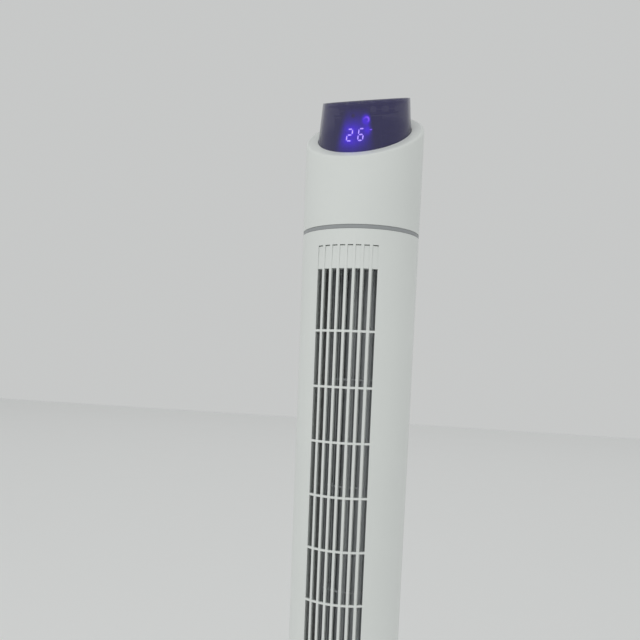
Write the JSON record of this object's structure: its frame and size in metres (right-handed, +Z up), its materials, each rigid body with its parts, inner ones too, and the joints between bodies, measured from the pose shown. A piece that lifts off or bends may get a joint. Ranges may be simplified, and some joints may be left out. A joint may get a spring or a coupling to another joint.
{
  "type": "tower fan",
  "caption": "Free-standing tower fan: a slim white column with a slatted outlet swings on a round weighted base; smoked display crown.",
  "frame": {"origin": "on the floor, under the column's axis, at the centre of the round base", "axes": "+Z up along the column, -Y out of the air outlet grille, +X to the right of someone facing the fan"},
  "size_m": [0.3, 0.3, 1.089],
  "materials": {
    "white_shell": "fine satin ABS moulding",
    "grey_trim": "satin grey band",
    "smoked_crown": "polished smoked acrylic",
    "dark_plastic": "fine matt moulding",
    "key_plastic": "gloss key caps",
    "duct_plastic": "natural grey moulding",
    "impeller_plastic": "grey glass-filled moulding",
    "rubber": "matt black rubber",
    "steel": "zinc-plated steel",
    "iron": "painted cast iron",
    "nylon": "natural nylon",
    "circuit_board": "green solder mask",
    "led_module": "black epoxy module",
    "led_light": "violet-blue lit segments",
    "ir_window": "dark red epoxy"
  },
  "bodies": {
    "base": {"base_cover": "white_shell", "base_plate": "dark_plastic", "ballast_ring": "iron", "pivot_post": "steel", "retainer_nut": "steel", "swivel_bearing": "nylon", "cord_grommet": "rubber", "swing_motor": "steel", "base_screw_1": "steel", "base_screw_2": "steel", "base_screw_3": "steel", "base_screw_4": "steel", "foot_1": "rubber", "foot_2": "rubber", "foot_3": "rubber", "foot_4": "rubber", "foot_5": "rubber"},
    "column": {"bottom_cap": "white_shell", "front_shell": "white_shell", "rear_shell": "white_shell", "head_deck": "white_shell", "head_housing": "white_shell", "handle_cup": "white_shell", "crown_tray": "dark_plastic", "trim_ring": "grey_trim", "crown_lens": "smoked_crown", "key_panel": "smoked_crown", "turntable": "dark_plastic", "run_capacitor": "dark_plastic", "duct_scroll": "duct_plastic", "duct_tongue": "duct_plastic", "duct_floor": "duct_plastic", "duct_roof": "duct_plastic", "wire_harness": "rubber", "fan_motor": "steel", "motor_bracket": "steel", "shell_screw_1": "steel", "shell_screw_2": "steel", "shell_screw_3": "steel", "shell_screw_4": "steel", "transformer": "iron", "sector_gear": "nylon", "top_bearing": "nylon", "control_board": "circuit_board", "key_board": "circuit_board", "display_board": "circuit_board", "led_display": "led_module", "lamp_night": "led_light", "lamp_degree": "led_light", "ir_receiver": "ir_window"},
    "pinion": {"swing_pinion": "nylon"},
    "rotor": {"impeller": "impeller_plastic", "motor_shaft": "steel", "bearing_pin": "steel"},
    "key_power": {"key_power": "key_plastic"},
    "key_speed": {"key_speed": "key_plastic"},
    "key_mode": {"key_mode": "key_plastic"},
    "key_timer": {"key_timer": "key_plastic"},
    "key_swing": {"key_swing": "key_plastic"}
  },
  "joints": [
    {"name": "column_swing", "type": "hinge", "parent": "base", "child": "column", "pos_m": [0, 0, 0.06], "axis": [0, 0, 1], "range_deg": [-35, 35]},
    {"name": "pinion_spin", "type": "hinge", "parent": "base", "child": "pinion", "pos_m": [0, 0.058, 0.027], "axis": [0, 0, 1], "range_deg": [-80, 80]},
    {"name": "impeller_spin", "type": "hinge", "parent": "column", "child": "rotor", "pos_m": [0, 0.008, 0.5], "axis": [0, 0, 1], "continuous": true},
    {"name": "key_power_press", "type": "slide", "parent": "column", "child": "key_power", "axis": [0, 0.3552, -0.9348], "range_m": [0, 0.0008], "stiffness_N_per_m": 500, "springref_m": -0.001},
    {"name": "key_speed_press", "type": "slide", "parent": "column", "child": "key_speed", "axis": [0, 0.3552, -0.9348], "range_m": [0, 0.0008], "stiffness_N_per_m": 500, "springref_m": -0.001},
    {"name": "key_mode_press", "type": "slide", "parent": "column", "child": "key_mode", "axis": [0, 0.3552, -0.9348], "range_m": [0, 0.0008], "stiffness_N_per_m": 500, "springref_m": -0.001},
    {"name": "key_timer_press", "type": "slide", "parent": "column", "child": "key_timer", "axis": [0, 0.3552, -0.9348], "range_m": [0, 0.0008], "stiffness_N_per_m": 500, "springref_m": -0.001},
    {"name": "key_swing_press", "type": "slide", "parent": "column", "child": "key_swing", "axis": [0, 0.3552, -0.9348], "range_m": [0, 0.0008], "stiffness_N_per_m": 500, "springref_m": -0.001}
  ],
  "couplings": [
    {"joint": "pinion_spin", "follows": "column_swing", "ratio": -2.2222}
  ]
}
